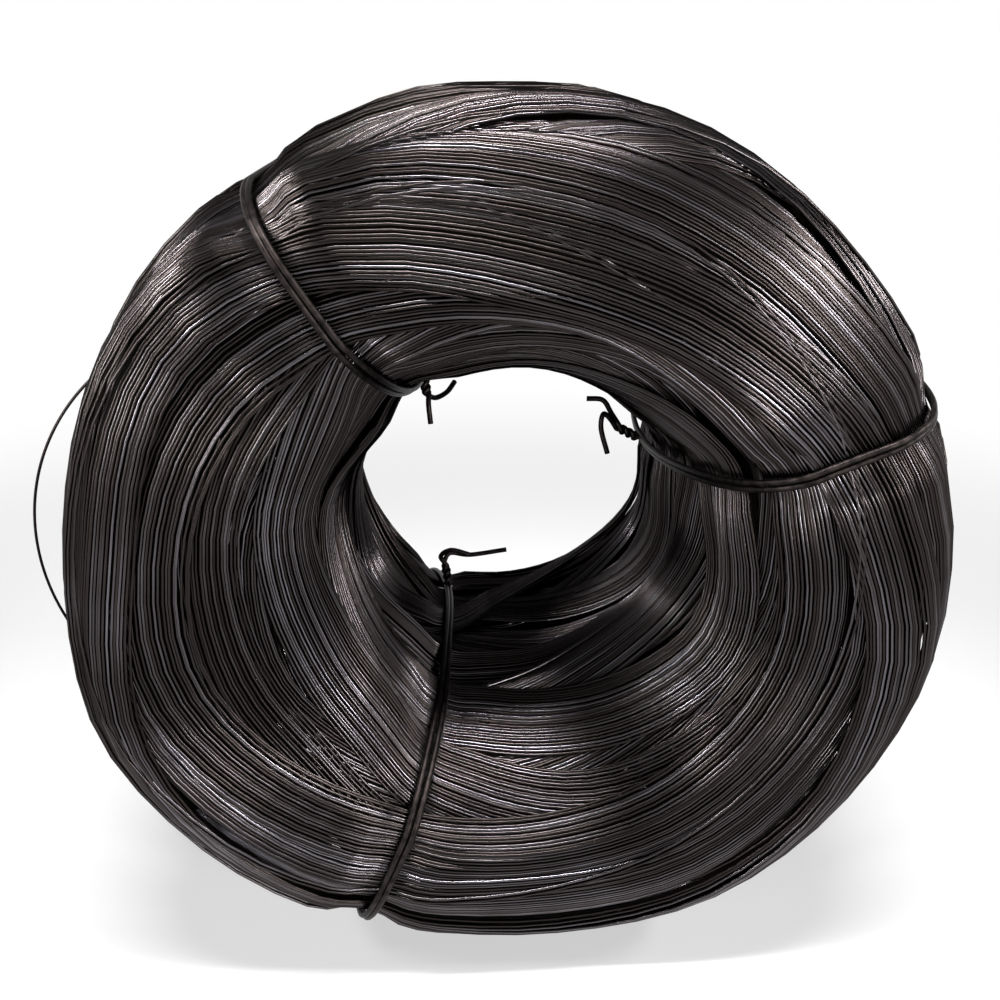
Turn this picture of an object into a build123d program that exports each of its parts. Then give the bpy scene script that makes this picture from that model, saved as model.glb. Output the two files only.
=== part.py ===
from build123d import *
import math
import os

# Coil of spring steel wire, standing on its rim, in millimetres.
# The coil's axis lies along Y and the floor is Z = 0. The origin is on the floor, under the
# middle of the whole part, loose turns included.

# Wire
wire_diameter = 1.6

# Wound bundle
coil_outside_diameter = 470
bore_diameter = 170
coil_width = 326
crown_squareness = 4.0        # section's exponent on the outside: a broad, nearly flat crown
flare_squareness = 1.9        # section's exponent towards the bore: the ends flare like a funnel
crown_press = 1.6             # how much of the rounded crown is pressed flat
end_press = 1.5               # how much of each rounded end is pressed flat
turn_bands = 16               # bands of turns that show round the section
band_relief = 1.8             # how far the edge of one band stands above the next

# Ties: black annealed wire, doubled, pulled tight round the bundle
tie_wire_diameter = 3.2
tie_bite = 2.0                # a tie's outside lies this far under the bundle's own surface
tie_clearance = 1.1           # between a tie and the turns that it draws in, at its middle
pinch_reach = 16              # the turns are drawn in over this distance each side of a tie
tie_route_points = 24
strand_sides = 6              # each strand's section has flats, to keep the part light
strand_press = 0.1            # the two strands of a tie are pressed together by this much
tie_angles = {"tie_wire_upper_left": 124, "tie_wire_right": 22, "tie_wire_lower": 247}

# Each tie is closed by twisting its two ends together, and the tails stand in the bore.
# Places are in tie wire diameters from the twist's foot on the bore: inwards from the bore's
# wall, along the coil, and round it.
twist_points = 6
twist_start = math.radians(20)
closing_shares = {"tie_wire_upper_left": 0, "tie_wire_right": 0, "tie_wire_lower": 0.28}
twist_reaches = {
    "tie_wire_upper_left": (3.2, -0.9, 1.2),
    "tie_wire_right": (2.8, -0.6, 2.9),
    "tie_wire_lower": (3.2, 0.9, -1.8),
}
tail_corners = {
    "tie_wire_upper_left": (((5.1, -1.9, 2.1), (8.2, -2.5, 3.8)),
                            ((5.3, 0.9, 0.8), (6.3, 3.8, -1.2), (6.1, 6.6, -3.2))),
    "tie_wire_right": (((3.6, -1.2, 5.2), (4.5, -1.9, 6.9), (5.9, -2.2, 4.5), (6.5, -2.5, -0.4)),
                       ((3.0, 0.3, 5.7), (3.6, 0.9, 8.6), (6.3, 1.2, 10.0))),
    "tie_wire_lower": (((5.8, 1.9, -1.9), (7.0, 2.2, 2.3), (11.0, 1.9, 8.8)),
                       ((5.1, 0.3, -3.6), (7.4, -0.3, -2.2), (8.0, -0.6, 1.6))),
}

# Loose turns: the same wire, sprung out of the bundle's rim. Angles are where a turn leaves
# the bundle, stands farthest out and returns, and shares are of the way to the coil's end.
loose_sides = 5
left_turn_angles = (153, 177, 200)
left_turn_reach = 19
left_turn_share = -0.56
lower_turn_angles = (-12, -33, -57)
lower_turn_reaches = (9, 14, 19)
lower_turn_shares = (-0.69, -0.61, -0.53)

# Places worked out from the sizes above
outside_radius = coil_outside_diameter / 2
bore_radius = bore_diameter / 2
middle_radius = (outside_radius + bore_radius) / 2
half_depth = (outside_radius - bore_radius) / 2
half_width = coil_width / 2
wire_radius = wire_diameter / 2
tie_radius = tie_wire_diameter / 2
pinch_slope = math.degrees(math.atan((tie_bite + tie_wire_diameter + tie_clearance) / pinch_reach))
strand_offset = tie_radius * math.cos(math.pi / strand_sides) - strand_press / 2
centre = Vector(left_turn_reach / 2, 0, outside_radius)
coil_axis = Axis(centre, (0, 1, 0))
draw_in_depth = 3 * half_depth          # the cut that draws the turns in clears the whole section
draw_in_width = 1.5 * coil_width
draw_in_reach = 1.2 * pinch_reach


def section_point(angle, inset=0.0):
    """A point of the bundle's section: distance from the coil's axis, distance along it."""
    across, along = math.cos(angle), math.sin(angle)
    squareness = crown_squareness if across > 0 else flare_squareness
    press = crown_press if across > 0 else 0
    reach = (abs(across) ** squareness + abs(along) ** squareness) ** (-1 / squareness)
    radial = (half_depth + press - inset) * across * reach
    axial = (half_width + end_press - inset) * along * reach
    end = half_width - inset
    return middle_radius + min(half_depth - inset, radial), max(-end, min(end, axial))


def wall_radius(along, side, inset=0.0):
    """How far the bundle's rim (side 1) or bore (side -1) lies from the axis, this far along."""
    squareness = crown_squareness if side > 0 else flare_squareness
    share = abs(along) / (half_width + end_press - inset)
    depth = (half_depth - inset) * (1 - share ** squareness) ** (1 / squareness)
    return middle_radius + side * depth


def section_plane(degrees):
    """The half plane through the axis at this angle: X points outwards and Y along the coil."""
    turn = math.radians(degrees)
    outwards = (math.cos(turn), 0, math.sin(turn))
    return Plane(origin=centre, x_dir=outwards, z_dir=(-math.sin(turn), 0, math.cos(turn)))


def banded_outline():
    """The section, with a shallow step where each band of turns laps over the next."""
    points = []
    for step in range(2 * turn_bands):
        angle = math.pi * (step + 0.5) / turn_bands
        radial, axial = section_point(angle)
        pressed = radial >= outside_radius or abs(axial) >= half_width
        points.append(section_point(angle, 0 if pressed or step % 2 else band_relief))
    return points


def tie_route():
    """The corners of a tie's centre line round the section."""
    step = 2 * math.pi / tie_route_points
    inset = tie_bite + tie_radius
    return [section_point(step * (i + 0.5), inset) for i in range(tie_route_points)]


os.makedirs("parts", exist_ok=True)
tie_corners = tie_route()

# Bundle of turns: one turned solid with its bore, drawn in where each tie is pulled tight
with BuildPart() as wire_coil:
    with BuildSketch(section_plane(0)):
        with BuildLine():
            Polyline(*banded_outline(), close=True)
        make_face()
    revolve(axis=coil_axis)
    with BuildSketch(Plane.XY, mode=Mode.PRIVATE) as drawn_in:
        with BuildLine():
            Polyline(*tie_corners, close=True)
        make_face()
        offset(amount=-(tie_radius + tie_clearance))
    for degrees in tie_angles.values():
        with BuildSketch(section_plane(degrees)):
            with Locations((middle_radius, 0)):
                Rectangle(draw_in_depth, draw_in_width)
            add(drawn_in.sketch, mode=Mode.SUBTRACT)
        extrude(amount=draw_in_reach, both=True, taper=pinch_slope, mode=Mode.SUBTRACT)
wire_coil.part.label = "wire_coil"
export_step(wire_coil.part, "parts/wire_coil.step")


def closing_plane(name):
    """Where a tie is closed: the origin is on the bore's wall, and X points inwards."""
    seat = section_plane(tie_angles[name])
    along = closing_shares[name] * half_width
    foot = seat.from_local_coords((wall_radius(along, -1, tie_bite), along, 0))
    return Plane(origin=foot, x_dir=-seat.x_dir, z_dir=-seat.z_dir)


def end_route(name, start_angle, corners):
    """The corners of one end of a tie: out of its strand, round the twist, then the tail."""
    closing = closing_plane(name)
    inwards, along, around = twist_reaches[name]
    reach = Vector(inwards, along, -around) * tie_wire_diameter
    foot = Vector(tie_radius, 0, 0)
    line = reach - foot
    side = Vector(0, 0, 1).cross(line).normalized()
    other = line.cross(side).normalized()
    route = [foot - Vector(tie_wire_diameter, 0, 0)]
    for i in range(twist_points):
        share = i / (twist_points - 1)
        turn = start_angle + 2 * math.pi * share
        route.append(foot + line * share + (other * math.cos(turn) + side * math.sin(turn)) * strand_offset)
    route[0] += route[1] - foot
    tail = [Vector(inwards, along, -around) * tie_wire_diameter for inwards, along, around in corners]
    return [closing.from_local_coords(point) for point in route + tail]


# Ties: two strands side by side round the bundle, their ends twisted together in the bore
for name, degrees in tie_angles.items():
    with BuildPart() as tie:
        with BuildLine(section_plane(degrees)) as loop:
            Polyline(*tie_corners, close=True)
        sideways = section_plane(degrees).z_dir
        with BuildSketch(Plane(origin=loop.line @ 0, z_dir=loop.line % 0, x_dir=sideways)):
            with Locations((strand_offset, 0), (-strand_offset, 0)):
                RegularPolygon(tie_radius, strand_sides, rotation=180 / strand_sides)
        sweep(path=loop.line, transition=Transition.RIGHT)
        for start_angle, corners in zip((twist_start, twist_start + math.pi), tail_corners[name]):
            route = end_route(name, start_angle, corners)
            with BuildLine() as end:
                Polyline(*route)
            with BuildSketch(Plane(origin=end.line @ 0, z_dir=end.line % 0)):
                RegularPolygon(tie_radius, strand_sides)
            sweep(path=end.line, transition=Transition.RIGHT)
    tie.part.label = name
    export_step(tie.part, f"parts/{name}.step")


def loose_turn(name, angles, reach, along):
    """One turn sprung clear of the rim: an arc of wire that leaves the bundle and returns to it."""
    leave, apex, back = (math.radians(degrees) for degrees in angles)
    place = Plane(origin=centre + Vector(0, along, 0), x_dir=(1, 0, 0), z_dir=(0, -1, 0))
    sunk = wall_radius(along, 1, band_relief) - 2 * wire_diameter
    sprung = outside_radius + reach
    with BuildPart() as turn:
        with BuildLine(place) as path:
            ThreePointArc(
                (sunk * math.cos(leave), sunk * math.sin(leave)),
                (sprung * math.cos(apex), sprung * math.sin(apex)),
                (sunk * math.cos(back), sunk * math.sin(back)),
            )
        with BuildSketch(Plane(origin=path.line @ 0, z_dir=path.line % 0)):
            RegularPolygon(wire_radius, loose_sides)
        sweep(path=path.line)
        add(wire_coil.part, mode=Mode.SUBTRACT)
    turn.part.label = name
    export_step(turn.part, f"parts/{name}.step")


# Loose turns of the coil's own wire, on the left and low on the right
loose_turn("loose_turn_left", left_turn_angles, left_turn_reach, left_turn_share * half_width)
for number, (reach, share) in enumerate(zip(lower_turn_reaches, lower_turn_shares), start=1):
    loose_turn(f"loose_turn_lower_{number}", lower_turn_angles, reach, share * half_width)
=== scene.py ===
import bpy
import math
import numpy as np
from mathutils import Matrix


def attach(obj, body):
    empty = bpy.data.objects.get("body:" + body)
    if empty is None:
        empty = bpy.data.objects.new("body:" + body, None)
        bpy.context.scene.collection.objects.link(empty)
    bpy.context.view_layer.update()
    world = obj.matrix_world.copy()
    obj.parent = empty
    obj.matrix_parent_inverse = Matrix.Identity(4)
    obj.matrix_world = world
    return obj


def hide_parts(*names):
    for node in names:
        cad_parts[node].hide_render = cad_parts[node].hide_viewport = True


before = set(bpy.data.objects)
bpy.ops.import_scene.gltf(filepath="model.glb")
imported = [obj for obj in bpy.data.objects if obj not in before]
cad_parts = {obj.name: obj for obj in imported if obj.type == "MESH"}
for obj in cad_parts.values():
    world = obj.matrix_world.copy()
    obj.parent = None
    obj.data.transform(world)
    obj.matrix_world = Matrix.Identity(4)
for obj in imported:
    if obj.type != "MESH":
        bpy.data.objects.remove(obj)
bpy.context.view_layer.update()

# Sizes are in millimetres until they become a mesh. The studio, its lamps and its camera are in metres.
MM = 0.001
tiny = 1e-6

# The coil's own sizes, as the CAD has them
wire_diameter = 1.6
tie_wire_diameter = 3.2
outside_radius = 235.0
bore_radius = 85.0
half_width = 163.0
crown_squareness = 4.0
flare_squareness = 1.9
crown_press = 1.6
end_press = 1.5
band_relief = 1.8
tie_bite = 2.0
middle_radius = (outside_radius + bore_radius) / 2
half_depth = (outside_radius - bore_radius) / 2
left_turn_reach = 19.0
centre = np.array([left_turn_reach / 2, 0.0, outside_radius])
tie_angles = {"tie_wire_upper_left": 124, "tie_wire_right": 22, "tie_wire_lower": 247}

# How the wire lies
turn_pitch = 1.9              # from one turn to the next in a ribbon
wire_sides = 6
lift = 0.86                   # a turn rests on the one below at this part of its diameter
first_depth = 10.0            # the first turns are laid this far under the CAD's surface
surface_depth = 2.2           # the top turns lie this far under the CAD's surface on average
highest_turn = 2.0            # and no turn stands higher over it than this
highest_in_bore = 0.6
bore_from = 290.0             # places farther round the section than this lie in the bore
inset_on_right = 1.2 * wire_diameter
room_on_left = 15.0           # on the left the turns may stand out this far, up to the loose turn
buried = 2.6                  # a stretch this far under the top turns isn't seen
most_points = 16000           # along the wires of one piece
heart_depth = 4.0             # the dark heart's surface lies this far under the turns
heart_highest = -3.2          # and between these two heights over the CAD's surface
heart_lowest = -16.0
tie_draw = 4.4                # the ties draw the turns in by this much
draw_reach = 17.0             # over about this distance each side
held_reach = 4.5              # the turns are held under a tie to this far from its middle
eased_reach = 24.0            # and let up again over this distance
under_tie_gap = 0.15
settled_softness = 0.9
edge_softness = 0.5
random = np.random.default_rng(7)


# Shape of the bundle

section_steps = 8000          # fine steps round the section, before its points are spaced evenly
section_points = 1600
section_softness = 12         # its outward directions are softened over this many points
shoulder_from = 110.0         # a rim that is pulled in is pulled in fully from this far along the coil
swell_fade = 1.5              # how soon a swell fades on its way between the rim and the bore
def section_table():
    """The bundle's section by distance round it: 0 at the middle of the rim, the front negative."""
    angle = np.linspace(-math.pi, math.pi, section_steps + 1)
    across, along = np.cos(angle), np.sin(angle)
    squareness = np.where(across > 0, crown_squareness, flare_squareness)
    press = np.where(across > 0, crown_press, 0.0)
    reach = (np.abs(across) ** squareness + np.abs(along) ** squareness) ** (-1 / squareness)
    radial = np.minimum(half_depth, (half_depth + press) * across * reach)
    axial = np.clip((half_width + end_press) * along * reach, -half_width, half_width)
    distance = np.concatenate([[0], np.cumsum(np.hypot(np.diff(radial), np.diff(axial)))])
    distance -= distance[section_steps // 2]
    even = np.linspace(distance[0], distance[-1], section_points + 1)
    radial = np.interp(even, distance, radial)
    axial = np.interp(even, distance, axial)
    return even[:-1], radial[:-1], axial[:-1], distance[-1] - distance[0]


def smooth_round(values, reach):
    """A closed row of values, softened over this many places."""
    places = np.arange(-3 * reach, 3 * reach + 1)
    weights = np.exp(-0.5 * (places / reach) ** 2)
    weights /= weights.sum()
    return sum(w * np.roll(values, p, axis=0) for w, p in zip(weights, places))


round_it, radial_at, axial_at, girth = section_table()
soft_radial = smooth_round(radial_at, section_softness)
soft_axial = smooth_round(axial_at, section_softness)
along_r = np.roll(soft_radial, -1) - np.roll(soft_radial, 1)
along_y = np.roll(soft_axial, -1) - np.roll(soft_axial, 1)
length = np.hypot(along_r, along_y)
out_r_at, out_y_at = along_y / length, -along_r / length


def around(table, place):
    """A value of the section at this distance round it."""
    share = (np.asarray(place) - round_it[0]) / girth * len(table)
    low = np.floor(share).astype(int)
    part = share - low
    return table[low % len(table)] * (1 - part) + table[(low + 1) % len(table)] * part


def turn_gap(angle, other):
    """How far one angle round the axis lies from another, in degrees, from -180 to 180."""
    return (np.degrees(angle) - other + 180) % 360 - 180


# The angles at which a turn has points: closer together where the ties draw it in
even_step = 6
least_step = 2.2
beside_tie = (-8, -5.2, -2.8, -1, 1, 2.8, 5.2, 8)
close_by = [(tie + gap) % 360 for tie in tie_angles.values() for gap in beside_tie]
stops_round = [a for a in range(0, 360, even_step) if min(abs(a - b) for b in close_by) > least_step]
stops_round = np.radians(sorted(stops_round + close_by))
steps_in_turn = len(stops_round)


def round_table(stops, softness):
    """Values at every degree round the axis from (degrees, value) stops, without corners."""
    values = np.interp(np.arange(360), [a for a, _ in stops], [v for _, v in stops])
    return smooth_round(values, softness)


# Where the rim stands out or is pulled in, by angle round the axis in degrees
rim_stops = [(0, 1.0), (12, 0.5), (22, 0.0), (35, -3.5), (45, -4.5), (60, 0.5), (72, 1.5), (100, 0.0),
             (118, -0.5), (124, -0.5), (135, 2.0), (150, 3.5), (170, 0.0), (182, 2.5), (192, 7.0),
             (200, 13.0), (212, 9.0), (230, 5.0), (245, -0.5), (262, -10.0), (280, -10.0), (300, 0.0),
             (318, -1.0), (335, -1.0), (350, 2.0), (360, 1.0)]
rim_swell = round_table(rim_stops, softness=5)
# The same for the bore, whose mouth isn't quite round
bore_stops = [(0, 1.5), (12, 1.5), (25, 5.0), (40, 2.5), (60, 0.5), (85, -0.5), (105, -2.5), (124, 0.0),
              (142, -4.5), (155, 0.0), (165, 5.5), (180, 0.0), (195, -4.5), (210, -5.5), (232, -3.5),
              (247, 0.0), (262, -1.0), (285, -2.5), (310, -2.5), (325, 1.0), (342, 4.5), (360, 1.5)]
bore_swell = round_table(bore_stops, softness=7)


def from_tie(angle, place):
    """The distance to the nearest tie, across it."""
    radius = middle_radius + around(radial_at, place)
    return np.min([np.abs(np.radians(turn_gap(angle, tie))) * radius for tie in tie_angles.values()], axis=0)


def held_under(value, limit, softness=edge_softness):
    """The value, eased off so that it stays under its limit."""
    return limit - softness * np.logaddexp(0, (limit - value) / softness)


def settled(angle, place, height):
    """A turn's height once the ties draw the bundle in and the turns press each other down."""
    away = from_tie(angle, place)
    height = height - tie_draw * np.exp(-(away / draw_reach) ** 2)
    open_air = np.where(np.abs(place) > bore_from, highest_in_bore, highest_turn)
    under_tie = -tie_bite - tie_wire_diameter - wire_diameter / 2 - under_tie_gap
    ease = np.clip((away - held_reach) / eased_reach, 0, 1)
    limit = under_tie + (open_air - under_tie) * ease * ease * (3 - 2 * ease)
    return held_under(height, limit, settled_softness)


def swell(angle, place):
    """How far a place is pushed away from the axis, at the rim and in the bore."""
    share = np.clip((around(radial_at, place) + half_depth) / (2 * half_depth), 0, 1)
    degrees = np.degrees(angle) % 360
    rim = np.interp(degrees, np.arange(360), rim_swell, period=360)
    bore = np.interp(degrees, np.arange(360), bore_swell, period=360)
    shoulder = np.clip(np.abs(around(axial_at, place)) / shoulder_from, 0, 1) ** 2
    rim = np.where(rim < 0, rim * shoulder, rim)
    return rim * share ** swell_fade + bore * (1 - share) ** swell_fade


def on_bundle(angle, place, height):
    """The point at this angle, distance round the section and height over its surface."""
    radial = middle_radius + around(radial_at, place) + height * around(out_r_at, place)
    radial = radial + swell(angle, place)
    upright = (outside_radius - wire_diameter) / np.maximum(np.abs(np.sin(angle)), tiny)
    to_right = (outside_radius - inset_on_right) / np.maximum(np.cos(angle), tiny)
    to_left = (outside_radius + room_on_left) / np.maximum(-np.cos(angle), tiny)
    radial = held_under(radial, np.minimum(np.minimum(upright, to_right), to_left))
    axial = around(axial_at, place) + height * around(out_y_at, place)
    axial = np.sign(axial) * held_under(np.abs(axial), half_width - wire_diameter / 2)
    return np.stack([centre[0] + radial * np.cos(angle), axial, centre[2] + radial * np.sin(angle)], -1)


def outwards(angle, place):
    """The direction straight out of the bundle's surface there."""
    radial = around(out_r_at, place)
    return np.stack([radial * np.cos(angle), around(out_y_at, place), radial * np.sin(angle)], -1)


# Meshes

def make_piece(name, points, faces, tones=None):
    """A mesh object from points in millimetres; it rides on the body."""
    mesh = bpy.data.meshes.new(name)
    mesh.from_pydata([], [], [])
    mesh.vertices.add(len(points))
    mesh.vertices.foreach_set("co", (np.asarray(points) * MM).ravel())
    faces = np.asarray(faces)
    mesh.loops.add(faces.size)
    mesh.loops.foreach_set("vertex_index", faces.ravel())
    mesh.polygons.add(len(faces))
    mesh.polygons.foreach_set("loop_start", np.arange(len(faces)) * faces.shape[1])
    mesh.polygons.foreach_set("use_smooth", np.full(len(faces), True))
    mesh.update(calc_edges=True)
    mesh.validate()
    if tones is not None:
        mesh.attributes.new("tone", "FLOAT", "POINT").data.foreach_set("value", tones)
    piece = bpy.data.objects.new(name, mesh)
    bpy.context.scene.collection.objects.link(piece)
    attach(piece, "root")
    return piece


def tube(path, radius, outs, sides, closed=False):
    """A round wire along a path: its points and its four-cornered faces."""
    if closed:
        along = np.roll(path, -1, 0) - np.roll(path, 1, 0)
    else:
        along = np.gradient(path, axis=0)
    along = along / np.linalg.norm(along, axis=1, keepdims=True)
    side = np.cross(along, outs)
    side /= np.linalg.norm(side, axis=1, keepdims=True)
    up = np.cross(side, along)
    rings = []
    for k in range(sides):
        turn = 2 * math.pi * k / sides
        rings.append(path + radius * (math.cos(turn) * up + math.sin(turn) * side))
    points = np.stack(rings, 1).reshape(-1, 3)
    count = len(path)
    k = np.arange(sides)
    runs = count if closed else count - 1
    near = (np.arange(runs)[:, None] * sides)
    far = ((np.arange(runs)[:, None] + 1) % count) * sides
    faces = np.stack([near + k, far + k, far + (k + 1) % sides, near + (k + 1) % sides], -1).reshape(-1, 4)
    if closed:
        return points, faces
    last = (count - 1) * sides
    caps = []
    for j in range(1, sides - 1, 2):
        caps.append([0, j, j + 1, (j + 2) % sides])
        caps.append([last + (j + 2) % sides, last + j + 1, last + j, last])
    return points, np.concatenate([faces, caps])


def joined(tubes):
    """The points and faces of several tubes as one mesh."""
    points, faces, used = [], [], 0
    for tube_points, tube_faces in tubes:
        points.append(tube_points)
        faces.append(tube_faces + used)
        used += len(tube_points)
    return np.concatenate(points), np.concatenate(faces)


# Laying the wire: the heights reached so far are kept on a grid over the bundle's surface

cells_round = 400
cell = girth / cells_round
top = np.full((steps_in_turn, cells_round), -first_depth)
grid_columns = np.arange(steps_in_turn)[None, :]
grid_angles = stops_round[None, :]
laid = []

seat_reach = 0.5              # a turn rests on what lies this far each side of its middle
cover_reach = 0.6             # and covers what lies this far each side
wander_waves = (0.7, 1.6, 3.3)
wander_size = 0.28            # how far a turn wanders from its place in the ribbon
unevenness = 0.12             # between the heights of one turn and the next
soft_reach = 6                # steps along a wire
soft_width = 2.6
stiff_reach = 6
sag = 0.055                   # a wire can drop this far in one step, and by the square in more
end_share = 0.2               # a ribbon's two ends dive over this share of a turn
end_sink = 6.0
layer_loss = 0.26             # each layer of a ribbon is narrower by this share
lean_size = 1.2
fewest_turns = 3
lines_tried = 14
nudges_tried = 40
nudge_sizes = (12, 6, 0.2, 3, 0.3, 1.5, 0.3, 0.03, 0.3)
swing_range = (6, 26)
end_swing_range = (5, 85)
widest_fan = 0.25


def cell_of(place):
    """The grid's cell at this distance round the section."""
    return np.floor((place + girth / 2) / cell).astype(int) % cells_round


def column_of(angle):
    """The grid's column at this angle."""
    return np.searchsorted(stops_round, angle - tiny) % steps_in_turn


soft_weights = np.exp(-0.5 * (np.arange(-soft_reach, soft_reach + 1) / soft_width) ** 2)
soft_weights /= soft_weights.sum()


def softened(values):
    """A row of values along a wire, without corners."""
    return np.convolve(np.pad(values, soft_reach, mode="edge"), soft_weights, "valid")


def ribbon_path(turns, middle, start, pitch):
    """The angles and places of one wire wound side by side into a ribbon that follows middle."""
    count = turns * steps_in_turn
    step = np.arange(count)
    angle = stops_round[(step + start) % steps_in_turn]
    turn = step / steps_in_turn - turns / 2
    wander = np.zeros(count)
    for waves in wander_waves:
        rows = random.normal(0, 1, 6 * turns + 8)
        drift = np.interp(step / steps_in_turn * waves, np.arange(len(rows)), rows)
        wander += drift * wander_size / waves ** 0.5
    place = middle(angle) + turn * pitch(angle) + softened(wander)
    return angle, place, turn


def stiff(heights):
    """A wire over these supports: it is too stiff to follow each dip between them."""
    held = heights.copy()
    for j in range(1, stiff_reach + 1):
        fall = sag * j * j
        held[j:] = np.maximum(held[j:], heights[:-j] - fall)
        held[:-j] = np.maximum(held[:-j], heights[j:] - fall)
    return softened(held)


def even_pitch(angle):
    """The same pitch all the way round."""
    return np.full(len(angle), turn_pitch)


def lay(turns, middle, start, pitch=even_pitch, crown=0.0):
    """Lays a ribbon on what is there already."""
    angle, place, turn = ribbon_path(turns, middle, start, pitch)
    column = column_of(angle)
    below = np.maximum(top[column, cell_of(place - seat_reach)], top[column, cell_of(place + seat_reach)])
    height = stiff(below) + lift * wire_diameter
    height += crown * (1 - (2 * turn / turns) ** 2)
    step = np.arange(len(turn))
    height += random.normal(0, unevenness, turns + 2)[step // steps_in_turn]
    end = np.minimum(step, step[::-1]) / (steps_in_turn * end_share)
    height -= end_sink * np.clip(1 - end, 0, 1) ** 2
    for shift in (-cover_reach, cover_reach):
        np.maximum.at(top, (column, cell_of(place + shift)), height)
    laid.append((angle, place, height))


def bundle(turns, middle, pitch, crown, layers):
    """Lays a thick ribbon: each layer is narrower than the one it lies on."""
    for layer in range(layers):
        share = 1 - layer_loss * layer
        lean = random.normal(0, lean_size)
        start = int(random.integers(0, steps_in_turn))
        lay(max(fewest_turns, int(turns * share)), lambda angle: middle(angle) + lean, start, pitch,
            crown * share)


def wave(mean, swing, phase, swing2=0.0, phase2=0.0, swing3=0.0, phase3=0.0):
    """A ribbon's line round the coil: its mean place and how far it swings to and fro."""
    def middle(angle):
        return (mean + swing * np.cos(angle - phase) + swing2 * np.cos(2 * (angle - phase2))
                + swing3 * np.cos(3 * (angle - phase3)))
    return middle


def level_of(turns, numbers):
    """How high the bundle already stands, on average, along a ribbon with these numbers."""
    angle, turn = grid_angles, np.linspace(-0.5, 0.5, 7)[:, None] * turns
    place = wave(*numbers[:7])(angle) + turn * turn_pitch * (1 + numbers[7] * np.cos(angle - numbers[8]))
    found = top[grid_columns, cell_of(place)]
    return found.mean() + 0.25 * found.max()


def any_place():
    """A place anywhere round the section, and how far it lies on an end of the coil, from 0 to 1."""
    mean = random.uniform(-girth / 2, girth / 2)
    return mean, abs(math.sin(2 * math.pi * mean / girth))


def any_line():
    """The numbers of a ribbon's line: its wave, how far it fans out, and where."""
    mean, on_end = any_place()
    swing = random.uniform(*swing_range) + on_end * random.uniform(*end_swing_range)
    phases = random.uniform(0, 2 * math.pi, 4)
    return np.array([mean, swing, phases[0], random.uniform(0, 0.25) * swing, phases[1],
                     random.uniform(0, 8), phases[2], random.uniform(0, 0.2), phases[3]])


def random_ribbon(turn_range, crown, layers):
    """Lays a ribbon where the bundle is lowest: several lines are tried, and the best is nudged."""
    turns = int(random.integers(*turn_range))
    best = min((any_line() for _ in range(lines_tried)), key=lambda line: level_of(turns, line))
    level = level_of(turns, best)
    for _ in range(nudges_tried):
        nudged = best + random.normal(0, 1, 9) * nudge_sizes
        nudged[7] = min(widest_fan, abs(nudged[7]))
        if level_of(turns, nudged) < level:
            best, level = nudged, level_of(turns, nudged)

    def fanned_pitch(angle):
        return turn_pitch * (1 + best[7] * np.cos(angle - best[8]))

    bundle(turns, wave(*best[:7]), fanned_pitch, crown, layers)


def line_through(stops):
    """A ribbon's line from (angle in degrees, place) stops, smooth all the way round."""
    stops = sorted((a % 360, p) for a, p in stops)
    degrees = np.array([a for a, _ in stops])
    places = np.array([p for _, p in stops], float)
    degrees = np.concatenate([degrees[-3:] - 360, degrees, degrees[:3] + 360])
    places = np.concatenate([places[-3:], places, places[:3]])
    even = np.interp(np.arange(-20, 380, 1.0), degrees, places)
    soft = np.convolve(even, np.hanning(27) / np.hanning(27).sum(), "same")[20:380]
    return lambda angle: np.interp(np.degrees(angle) % 360, np.arange(361), np.append(soft, soft[0]))


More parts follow.
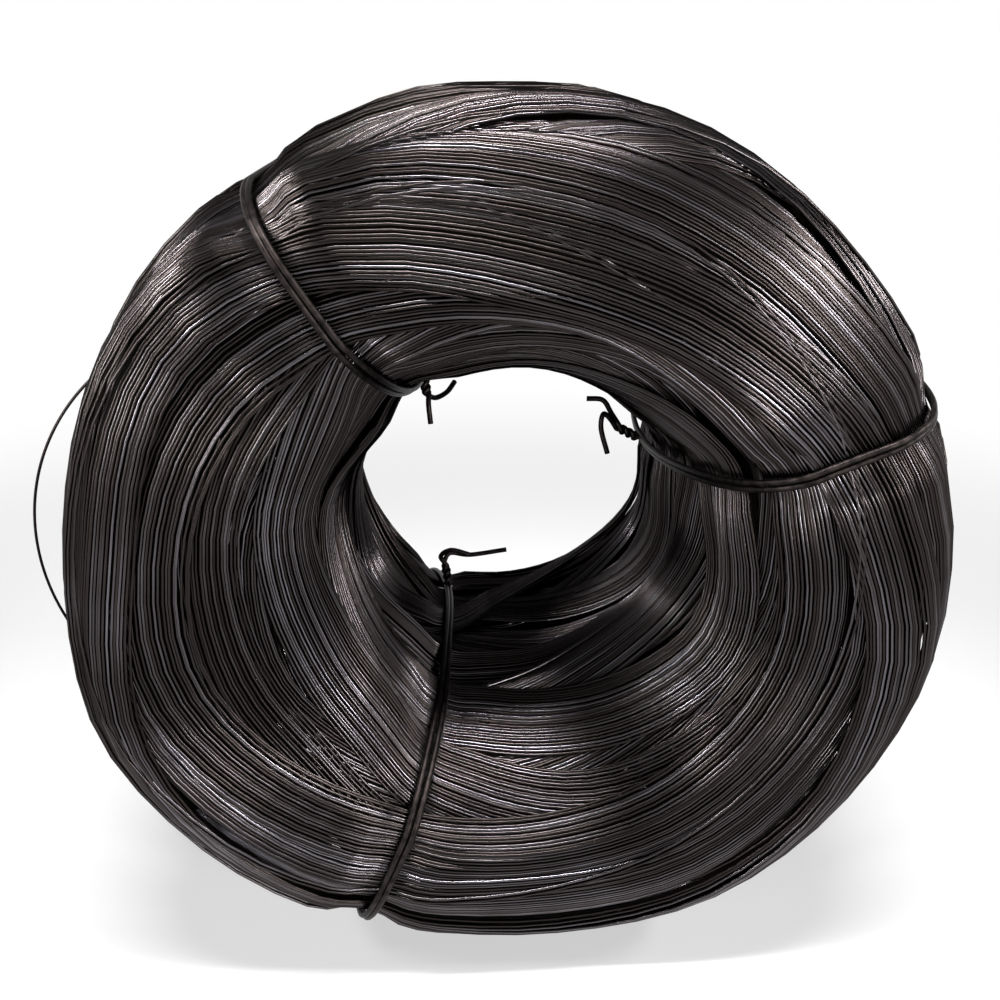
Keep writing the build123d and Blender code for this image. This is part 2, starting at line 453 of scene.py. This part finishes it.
# The ribbons seen on the front, from the first laid to the last: turns, crown and line.
# A line is a row of stops, each an angle round the axis and a place round the section.
front_ribbons = {
    "bore_arc": (24, 1.5, [(206, -333), (226, -339), (265, -341), (313, -343), (344, -334), (20, -320),
                           (60, -320), (100, -330), (150, -330)]),
    "rising_arc": (20, 1.0, [(251, -303), (273, -318), (295, -330), (318, -334), (340, -332), (2, -316),
                             (50, -300), (100, -290), (160, -290), (210, -290)]),
    "second_arc": (22, 2.0, [(218, -299), (249, -300), (269, -297), (290, -289), (311, -280), (342, -266),
                             (20, -250), (70, -262), (120, -280), (180, -305)]),
    "third_arc": (20, 2.0, [(214, -265), (238, -259), (269, -271), (288, -277), (315, -273), (336, -264),
                            (10, -245), (60, -255), (120, -265), (175, -275)]),
    "fourth_arc": (22, 2.2, [(205, -232), (235, -242), (264, -253), (302, -268), (328, -269), (355, -250),
                             (30, -240), (80, -250), (130, -245), (175, -235)]),
    "fifth_arc": (20, 2.0, [(215, -203), (256, -202), (272, -212), (310, -239), (333, -243), (0, -235),
                            (50, -235), (110, -225), (170, -205)]),
    "right_inner": (24, 2.0, [(62, -326), (40, -304), (19, -296), (359, -287), (336, -282), (309, -290),
                              (280, -300), (240, -310), (190, -330), (140, -345), (95, -340)]),
    "left_inner": (24, 2.4, [(113, -232), (131, -250), (154, -270), (177, -280), (199, -284), (226, -280),
                             (250, -262), (285, -240), (320, -232), (0, -225), (50, -225), (85, -226)]),
    "left_middle": (26, 2.2, [(120, -204), (140, -211), (175, -217), (221, -224), (247, -210), (285, -190),
                              (320, -200), (0, -215), (50, -226), (90, -215)]),
    "left_outer": (26, 1.6, [(128, -164), (165, -171), (200, -176), (242, -180), (290, -165), (330, -150),
                             (10, -160), (60, -175), (100, -160)]),
    "right_middle": (24, 2.0, [(56, -236), (33, -234), (358, -226), (336, -224), (286, -221), (240, -215),
                               (190, -190), (140, -195), (90, -225)]),
    "right_outer": (24, 1.6, [(37, -212), (19, -198), (3, -189), (347, -181), (309, -179), (270, -182),
                              (230, -170), (170, -150), (110, -175), (70, -205)]),
    "top_cross": (16, 1.2, [(116, -136), (104, -154), (91, -180), (73, -199), (55, -203), (34, -201),
                            (15, -188), (330, -150), (270, -120), (200, -115), (150, -120)]),
    "top_outer": (22, 1.4, [(139, -138), (113, -151), (89, -172), (63, -181), (38, -177), (0, -160),
                            (300, -140), (240, -130), (180, -128)]),
    "main_sweep": (22, 2.4, [(174, -170), (158, -167), (143, -163), (129, -170), (116, -185), (102, -203),
                             (87, -216), (70, -221), (51, -218), (30, -208), (5, -192), (352, -178),
                             (320, -155), (270, -140), (215, -150)]),
}
front_fullness = 1.1          # the front ribbons are laid with this many times the turns above
front_crown_share = 0.9
base_turns, thick_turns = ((540, 1400))
stray_pairs = 9
columns_softness = 4
cells_softness = 13


def turns_so_far():
    """How many turns have been laid."""
    return sum(len(angle) for angle, _, _ in laid) // steps_in_turn


while turns_so_far() < base_turns:
    random_ribbon((12, 30), crown=0.8, layers=1)
while turns_so_far() < base_turns + thick_turns:
    random_ribbon((14, 28), crown=0.6, layers=2)
for turns, crown, line in front_ribbons.values():
    bundle(int(turns * front_fullness), line_through(line), even_pitch, crown * front_crown_share, layers=1)
for _ in range(stray_pairs):
    mean, on_end = any_place()
    phases = random.uniform(0, 2 * math.pi, 2)
    line = wave(mean, random.uniform(10, 25) + on_end * random.uniform(5, 40), phases[0],
                random.uniform(2, 10), phases[1])
    lay(2, line, int(random.integers(0, steps_in_turn)))

# The turns press each other down until the bundle, seen over a wide stretch, follows the CAD's surface
wide_level = smooth_round(smooth_round(top, columns_softness).T, cells_softness).T


def packed_height(angle, place, height):
    """A turn's height over the CAD's surface, from its height on the grid."""
    share = (place + girth / 2) / cell - 0.5
    low = np.floor(share).astype(int)
    part = share - low
    column = column_of(angle)
    level = (wide_level[column, low % cells_round] * (1 - part)
             + wide_level[column, (low + 1) % cells_round] * part)
    return height - level - surface_depth


def in_pieces(paths, most):
    """Sorts paths into groups whose tubes stay under the most points allowed."""
    group, size = [], 0
    for path in paths:
        if size + len(path[0]) > most:
            yield group
            group, size = [], 0
        group.append(path)
        size += len(path[0])
    yield group


def seen_runs(angle, place, height):
    """The stretches of a wire that aren't buried deep under other turns."""
    column, cell_number = column_of(angle), cell_of(place)
    cover = np.min([top[column, (cell_number + shift) % cells_round] for shift in (-1, 0, 1)], axis=0)
    bare = (cover - height) < buried
    for _ in range(2):
        bare = bare | np.roll(bare, 1) | np.roll(bare, -1)
    edges = np.flatnonzero(np.diff(np.concatenate([[0], bare.astype(int), [0]])))
    for start, stop in zip(edges[::2], edges[1::2]):
        if stop - start > 3:
            yield angle[start:stop], place[start:stop], height[start:stop]


runs = [run for wire in laid for run in seen_runs(*wire)]
wire_pieces = []
for number, group in enumerate(in_pieces(runs, most_points), start=1):
    tubes, tones = [], []
    for angle, place, height in group:
        path = on_bundle(angle, place, settled(angle, place, packed_height(angle, place, height)))
        tubes.append(tube(path, wire_diameter / 2, outwards(angle, place), wire_sides))
        stops = random.uniform(0, 1, len(angle) // steps_in_turn + 2)
        tone = np.interp(np.arange(len(angle)) / steps_in_turn, np.arange(len(stops)), stops)
        tones.append(np.repeat(tone, wire_sides))
    points, faces = joined(tubes)
    wire_pieces.append(make_piece(f"wound_wire_{number}", points, faces, np.concatenate(tones)))


def heart_mesh():
    """The dark heart of the bundle, close under all the turns that can be seen: a sheet with painted shade,
    standing for the turns deep inside.
    """
    columns, rows = steps_in_turn, cells_round // 2
    i, j = np.meshgrid(np.arange(columns), np.arange(rows), indexing="ij")
    angle, place = stops_round[i], (2 * j + 0.5) * cell - girth / 2
    lowest = np.min([np.roll(top, (a, b), (0, 1)) for a in (-1, 0, 1) for b in (-3, 0, 3)], axis=0)
    depth = smooth_round(smooth_round(lowest, 1).T, 2).T - wide_level - surface_depth - heart_depth
    height = settled(angle, place, np.clip(depth[:, ::2], heart_lowest, heart_highest))
    points = on_bundle(angle, place, np.minimum(height, heart_highest)).reshape(-1, 3)
    near, far = i * rows, ((i + 1) % columns) * rows
    faces = np.stack([near + j, far + j, far + (j + 1) % rows, near + (j + 1) % rows], -1).reshape(-1, 4)
    return make_piece("bundle_heart", points, faces[:, ::-1])


heart = heart_mesh()
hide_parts("wire_coil")


# Ties: two strands side by side, closed by a twist in the bore

twist_reaches = {
    "tie_wire_upper_left": (3.2, -0.9, 1.2),
    "tie_wire_right": (2.8, -0.6, 2.9),
    "tie_wire_lower": (3.2, 0.9, -1.8),
}
closing_shares = {"tie_wire_upper_left": 0, "tie_wire_right": 0, "tie_wire_lower": 0.28}
tail_corners = {
    "tie_wire_upper_left": (((5.1, -1.9, 2.1), (8.2, -2.5, 3.8)),
                            ((5.3, 0.9, 0.8), (6.3, 3.8, -1.2), (6.1, 6.6, -3.2))),
    "tie_wire_right": (((3.6, -1.2, 5.2), (4.5, -1.9, 6.9), (5.9, -2.2, 4.5), (6.5, -2.5, -0.4)),
                       ((3.0, 0.3, 5.7), (3.6, 0.9, 8.6), (6.3, 1.2, 10.0))),
    "tie_wire_lower": (((5.8, 1.9, -1.9), (7.0, 2.2, 2.3), (11.0, 1.9, 8.8)),
                       ((5.1, 0.3, -3.6), (7.4, -0.3, -2.2), (8.0, -0.6, 1.6))),
}


def smooth_path(corners, count):
    """An even row of points on a smooth curve through the corners."""
    corners = np.asarray(corners, float)
    ends = np.concatenate([[2 * corners[0] - corners[1]], corners, [2 * corners[-1] - corners[-2]]])
    fine = []
    for a, b, c, d in zip(ends, ends[1:], ends[2:], ends[3:]):
        t = np.linspace(0, 1, 24, endpoint=False)[:, None]
        fine.append(0.5 * (2 * b + (c - a) * t + (2 * a - 5 * b + 4 * c - d) * t ** 2
                           + (3 * b - a - 3 * c + d) * t ** 3))
    fine = np.concatenate(fine + [corners[-1:]])
    length = np.concatenate([[0], np.cumsum(np.linalg.norm(np.diff(fine, axis=0), axis=1))])
    even = np.linspace(0, length[-1], count)
    return np.stack([np.interp(even, length, fine[:, i]) for i in range(3)], -1)


def steady_outs(path):
    """A direction square to the path at each point that turns as little as it can."""
    along = np.gradient(path, axis=0)
    along /= np.linalg.norm(along, axis=1, keepdims=True)
    out = np.cross(along[0], [0.3, 0.5, 0.8])
    outs = []
    for direction in along:
        out = out - direction * np.dot(out, direction)
        out = out / np.linalg.norm(out)
        outs.append(out)
    return np.array(outs)


strand_points = 180
strand_spread = 1.02          # a strand's middle lies this many radii from the middle of its tie
strand_weave = 0.25           # the two strands rise and fall against each other by this much
end_points = 90
tie_sides = 10
lead_in = 2.2                 # each end starts this many radii behind the bore's wall
twist_steps = 12
twist_start = math.radians(20)
twist_turn = 2.6 * math.pi


def tie_directions(name):
    """Straight away from the axis at a tie, and across the tie."""
    angle = math.radians(tie_angles[name])
    return np.array([math.cos(angle), 0, math.sin(angle)]), np.array([-math.sin(angle), 0, math.cos(angle)])


def tie_strand(name, side):
    """One of a tie's two strands, all the way round the bundle."""
    radius = tie_wire_diameter / 2
    outward, sideways = tie_directions(name)
    place = np.linspace(-girth / 2, girth / 2, strand_points, endpoint=False)
    turn = 2 * math.pi * place / girth
    height = np.full(len(place), -tie_bite - radius) + strand_weave * side * np.cos(turn + 0.6)
    radial = middle_radius + around(radial_at, place) + height * around(out_r_at, place)
    axial = np.clip(around(axial_at, place) + height * around(out_y_at, place),
                    -half_width + tie_bite + radius, half_width - tie_bite - radius)
    bend = 0.5 * np.sin(turn * 3 + side) + 0.35 * np.sin(turn * 7)
    shift = side * radius * strand_spread
    path = centre + radial[:, None] * outward + (shift + bend)[:, None] * sideways
    path[:, 1] = axial
    outs = around(out_r_at, place)[:, None] * outward
    outs[:, 1] = around(out_y_at, place)
    return tube(path, radius, outs, tie_sides, closed=True)


def tie_end(name, number):
    """One end of a tie: out of its strand, round the twist, then the tail."""
    radius = tie_wire_diameter / 2
    outward, sideways = tie_directions(name)
    along = closing_shares[name] * half_width
    share = abs(along) / (half_width + end_press - tie_bite)
    wall = middle_radius - (half_depth - tie_bite) * (1 - share ** flare_squareness) ** (1 / flare_squareness)
    foot = centre + wall * outward + np.array([0, along, 0])
    base = np.array([radius, 0, 0])
    line = np.array(twist_reaches[name]) * tie_wire_diameter - base
    one = np.cross([0, 0, 1.0], line)
    one /= np.linalg.norm(one)
    two = np.cross(line, one)
    two /= np.linalg.norm(two)

    def beside(turn):
        """From the twist's middle to the strand, this far round."""
        return (two * math.cos(turn) + one * math.sin(turn)) * radius

    start = twist_start + math.pi * number
    local = [base + radius * np.array([-lead_in, 0, 0]) + beside(start)]
    for i in range(twist_steps + 1):
        local.append(base + line * i / twist_steps + beside(start + twist_turn * i / twist_steps))
    local += [np.array(corner) * tie_wire_diameter for corner in tail_corners[name][number]]
    route = [foot - x * outward + np.array([0, y, 0]) + z * sideways for x, y, z in local]
    path = smooth_path(route, end_points)
    return tube(path, radius, steady_outs(path), tie_sides)


def tie_piece(name):
    """The visual of one tie, in the CAD's place."""
    strands = [tie_strand(name, side) for side in (-1, 1)]
    ends = [tie_end(name, number) for number in (0, 1)]
    piece = make_piece(name + "_strands", *joined(strands + ends))
    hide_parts(name)
    return piece


tie_pieces = [tie_piece(name) for name in tie_angles]


# Loose turns, sprung out of the rim

arc_points = 90
loose_sides = 8
kept_inside = 0.2             # the left turn stays this far inside the CAD's box
lower_angles = (-12, -33, -57)

# Angles where a turn leaves the bundle, stands farthest out and returns; how far out it stands;
# and its share of the way to the coil's end
loose_turns = {
    "loose_turn_left": ((153, 177, 200), left_turn_reach - kept_inside, -0.56),
    "loose_turn_lower_1": (lower_angles, 9, -0.69),
    "loose_turn_lower_2": (lower_angles, 14, -0.61),
    "loose_turn_lower_3": (lower_angles, 19, -0.53),
}
def rim_radius(along, inset):
    """How far the bundle's rim lies from the axis, this far along it."""
    share = abs(along) / (half_width + end_press - inset)
    return middle_radius + (half_depth - inset) * (1 - share ** crown_squareness) ** (1 / crown_squareness)


def arc_through(first, middle, last, count):
    """Points on the circle through three points, in a plane."""
    (ax, ay), (bx, by), (cx, cy) = first, middle, last
    a2, b2, c2 = ax * ax + ay * ay, bx * bx + by * by, cx * cx + cy * cy
    d = 2 * (ax * (by - cy) + bx * (cy - ay) + cx * (ay - by))
    ux = (a2 * (by - cy) + b2 * (cy - ay) + c2 * (ay - by)) / d
    uy = (a2 * (cx - bx) + b2 * (ax - cx) + c2 * (bx - ax)) / d
    radius = math.hypot(ax - ux, ay - uy)
    start = math.atan2(ay - uy, ax - ux)
    sweep = (math.atan2(cy - uy, cx - ux) - start + math.pi) % (2 * math.pi) - math.pi
    turn = start + sweep * np.linspace(0, 1, count)
    return ux + radius * np.cos(turn), uy + radius * np.sin(turn)


def loose_turn(name, angles, reach, along):
    """One turn of wire that leaves the bundle and goes back into it."""
    sunk = rim_radius(along, band_relief) - 2 * wire_diameter
    radii = (sunk, outside_radius + reach, sunk)
    ends = [(r * math.cos(math.radians(a)), r * math.sin(math.radians(a))) for r, a in zip(radii, angles)]
    x, z = arc_through(*ends, arc_points)
    path = np.stack([centre[0] + x, np.full(len(x), along), centre[2] + z], -1)
    points, faces = tube(path, wire_diameter / 2, steady_outs(path), loose_sides)
    piece = make_piece(name + "_wire", points, faces)
    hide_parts(name)
    return piece


loose_pieces = []
for name, (angles, reach, share) in loose_turns.items():
    loose_pieces.append(loose_turn(name, angles, reach, share * half_width))


# Materials

def colour(hex_code):
    """An sRGB colour as Blender's linear numbers."""
    channels = [int(hex_code[i:i + 2], 16) / 255 for i in (0, 2, 4)]
    linear = [c / 12.92 if c <= 0.04045 else ((c + 0.055) / 1.055) ** 2.4 for c in channels]
    return (*linear, 1.0)


def node(material, kind, links=None, values=None, **settings):
    """Adds a node with its settings, input values and links from other nodes' outputs."""
    made = material.node_tree.nodes.new(kind)
    for name, value in settings.items():
        setattr(made, name, value)
    for name, value in (values or {}).items():
        made.inputs[name].default_value = value
    for name, source in (links or {}).items():
        material.node_tree.links.new(source, made.inputs[name])
    return made


def new_material(name):
    """A material with no nodes but its output."""
    material = bpy.data.materials.new(name)
    material.use_nodes = True
    material.node_tree.nodes.clear()
    return material


def finish_material(material, shader):
    """Joins the last shader to the output."""
    node(material, "ShaderNodeOutputMaterial", {"Surface": shader.outputs[0]})


def ramp(material, source, stops):
    """A colour ramp from (place, colour) stops."""
    made = node(material, "ShaderNodeValToRGB", {"Fac": source})
    elements = made.color_ramp.elements
    while len(elements) < len(stops):
        elements.new(0.5)
    for element, (place, value) in zip(elements, stops):
        element.position = place
        element.color = value
    return made


def spring_steel():
    """Hard-drawn spring steel wire with a thin dark heat scale, rubbed brighter here and there."""
    material = new_material("hard_drawn_spring_steel_wire")
    where = node(material, "ShaderNodeTexCoord")
    tone = node(material, "ShaderNodeAttribute", attribute_name="tone")
    patches = node(material, "ShaderNodeTexNoise", {"Vector": where.outputs["Object"]},
                   {"Scale": 14.0, "Detail": 3.0, "Roughness": 0.6})
    mixed = node(material, "ShaderNodeMath", {0: patches.outputs["Fac"], 1: tone.outputs["Fac"]},
                 operation="ADD")
    half = node(material, "ShaderNodeMath", {0: mixed.outputs[0]}, {1: 0.5}, operation="MULTIPLY")
    base = ramp(material, half.outputs[0], [(0.2, colour("262120")), (0.5, colour("3c3736")),
                                             (0.66, colour("565254")), (0.85, colour("827f85"))])
    rough = node(material, "ShaderNodeMapRange", {"Value": half.outputs[0]},
                 {"From Min": 0.25, "From Max": 0.75, "To Min": 0.30, "To Max": 0.20})
    shader = node(material, "ShaderNodeBsdfPrincipled",
                  {"Base Color": base.outputs["Color"], "Roughness": rough.outputs["Result"]},
                  {"Metallic": 1.0, "Specular Tint": (0.5, 0.5, 0.5, 1)})
    finish_material(material, shader)
    return material


def heart_steel():
    """The same wire deep in the bundle, with painted shade: a darker copy of the wire's colour stands for the
    little light that reaches there.
    """
    material = new_material("painted_shade_spring_steel_turns")
    # painted shade: this base colour is darker than the wire's own colour
    shader = node(material, "ShaderNodeBsdfPrincipled",
                  values={"Base Color": colour("14110f"), "Roughness": 0.6, "Metallic": 1.0})
    finish_material(material, shader)
    return material


def tie_steel():
    """Soft black annealed tie wire, with a matt scale."""
    material = new_material("black_annealed_tie_wire")
    where = node(material, "ShaderNodeTexCoord")
    specks = node(material, "ShaderNodeTexNoise", {"Vector": where.outputs["Object"]},
                  {"Scale": 260.0, "Detail": 3.0})
    base = ramp(material, specks.outputs["Fac"], [(0.35, colour("1d1a1a")), (0.65, colour("383231"))])
    rough = node(material, "ShaderNodeMapRange", {"Value": specks.outputs["Fac"]},
                 {"To Min": 0.40, "To Max": 0.58})
    bump = node(material, "ShaderNodeBump", {"Height": specks.outputs["Fac"]},
                {"Strength": 0.25, "Distance": 0.0002})
    shader = node(material, "ShaderNodeBsdfPrincipled",
                  {"Base Color": base.outputs["Color"], "Roughness": rough.outputs["Result"],
                   "Normal": bump.outputs["Normal"]}, {"Metallic": 1.0})
    finish_material(material, shader)
    return material


def dress(pieces, material):
    """Gives pieces a material."""
    for piece in pieces:
        piece.data.materials.append(material)


steel = spring_steel()
dress(wire_pieces + loose_pieces, steel)
dress([heart], heart_steel())
dress(tie_pieces, tie_steel())


# Floor, wall, light and camera, in metres

floor_reach = 9
wall_sides = 96
wall_radius, wall_foot, wall_height = 7, -0.01, 1.7
fill_strength = 0.14


def shown(material):
    """1 for what the camera, a reflection or a clear thing shows, and 0 for light."""
    path = node(material, "ShaderNodeLightPath")
    seen = path.outputs["Is Camera Ray"]
    for kind in ("Is Glossy Ray", "Is Transmission Ray"):
        either = node(material, "ShaderNodeMath", {0: seen, 1: path.outputs[kind]}, operation="MAXIMUM")
        seen = either.outputs[0]
    return seen


def pale_surface(name, whiteness):
    """A matt pale studio surface that shows white by this share, from a material and its nodes."""
    material = new_material(name)
    matt = node(material, "ShaderNodeBsdfDiffuse", values={"Color": (0.8, 0.8, 0.8, 1)})
    white = node(material, "ShaderNodeEmission", values={"Color": (1, 1, 1, 1), "Strength": 1.0})
    finish_material(material, node(material, "ShaderNodeMixShader",
                                   {0: whiteness(material), 1: matt.outputs[0], 2: white.outputs[0]}))
    return material


def whiter_away(material):
    """Partly white near the coil, where its shadow falls, and white from about a metre away."""
    where = node(material, "ShaderNodeTexCoord")
    away = node(material, "ShaderNodeVectorMath", {0: where.outputs["Object"]}, operation="LENGTH")
    near = node(material, "ShaderNodeMapRange", {"Value": away.outputs["Value"]},
                {"From Min": 0.3, "From Max": 1.2, "To Min": 0.5, "To Max": 1.0},
                interpolation_type="SMOOTHSTEP")
    share = node(material, "ShaderNodeMath", {0: shown(material), 1: near.outputs["Result"]},
                 operation="MULTIPLY")
    return share.outputs[0]


def stage_piece(name, points, faces, material):
    """A surface of the studio, in metres."""
    mesh = bpy.data.meshes.new(name)
    mesh.from_pydata(points, [], faces)
    mesh.materials.append(material)
    piece = bpy.data.objects.new(name, mesh)
    bpy.context.scene.collection.objects.link(piece)


floor_corners = [(x * floor_reach, y * floor_reach, 0) for x, y in ((-1, -1), (1, -1), (1, 1), (-1, 1))]
stage_piece("studio_floor", floor_corners, [(0, 1, 2, 3)], pale_surface("matt_pale_floor", whiter_away))
wall_points = [(wall_radius * math.cos(a), wall_radius * math.sin(a), z) for z in (wall_foot, wall_height)
               for a in np.linspace(0, 2 * math.pi, wall_sides + 1)[:-1]]
wall_faces = [(i, (i + 1) % wall_sides, (i + 1) % wall_sides + wall_sides, i + wall_sides)
              for i in range(wall_sides)]
stage_piece("studio_wall", wall_points, wall_faces, pale_surface("matt_pale_wall", shown))

world = bpy.data.worlds.new("studio")
bpy.context.scene.world = world
world.use_nodes = True
world.node_tree.nodes.clear()
fill = node(world, "ShaderNodeBackground", values={"Color": (1, 1, 1, 1), "Strength": fill_strength})
node(world, "ShaderNodeOutputWorld", {"Surface": fill.outputs[0]})


def aim(item, target):
    """Turns a lamp or camera to face a point in metres."""
    way = np.array(target) - np.array(item.location)
    rise = math.atan2(way[2], math.hypot(way[0], way[1]))
    item.rotation_euler = (math.pi / 2 + rise, 0, math.atan2(way[1], way[0]) - math.pi / 2)


def softbox(name, place, target, width, height, watts, spread):
    """A soft rectangular studio lamp with a grid that keeps its light within this many degrees."""
    lamp = bpy.data.lights.new(name, "AREA")
    lamp.shape = "RECTANGLE"
    lamp.size, lamp.size_y = width, height
    lamp.energy = watts
    lamp.spread = math.radians(spread)
    item = bpy.data.objects.new(name, lamp)
    item.location = place
    bpy.context.scene.collection.objects.link(item)
    aim(item, target)


softbox("overhead_strip", (0.0, -0.4, 1.4), (0.0, 0.0, 0.3),
        width=0.9, height=0.1, watts=5, spread=60)
softbox("upper_right_box", (1.15, -0.3, 0.95), (0.05, -0.05, 0.35),
        width=0.4, height=0.12, watts=1.3, spread=50)
softbox("upper_left_box", (-1.15, -0.3, 0.95), (-0.05, -0.05, 0.35),
        width=0.4, height=0.12, watts=1.2, spread=50)
softbox("low_left_box", (-1.2, -1.0, 0.4), (-0.05, -0.1, 0.3),
        width=0.25, height=0.25, watts=0.6, spread=45)
softbox("low_right_box", (0.8, -1.2, 0.45), (0.0, -0.1, 0.2),
        width=0.25, height=0.25, watts=0.8, spread=45)

lens = bpy.data.cameras.new("camera")
lens.lens = 44.2
camera = bpy.data.objects.new("camera", lens)
bpy.context.scene.collection.objects.link(camera)
bpy.context.scene.camera = camera
azimuth, elevation, distance = math.radians(-2.84), math.radians(19.8), 0.755
below_centre = np.array([-2.5, 0, -8.0])
target = (centre + below_centre) * MM
camera.location = (target[0] + distance * math.sin(azimuth) * math.cos(elevation),
                   target[1] - distance * math.cos(azimuth) * math.cos(elevation),
                   target[2] + distance * math.sin(elevation))
aim(camera, target)
bpy.context.scene.view_settings.view_transform = "Standard"
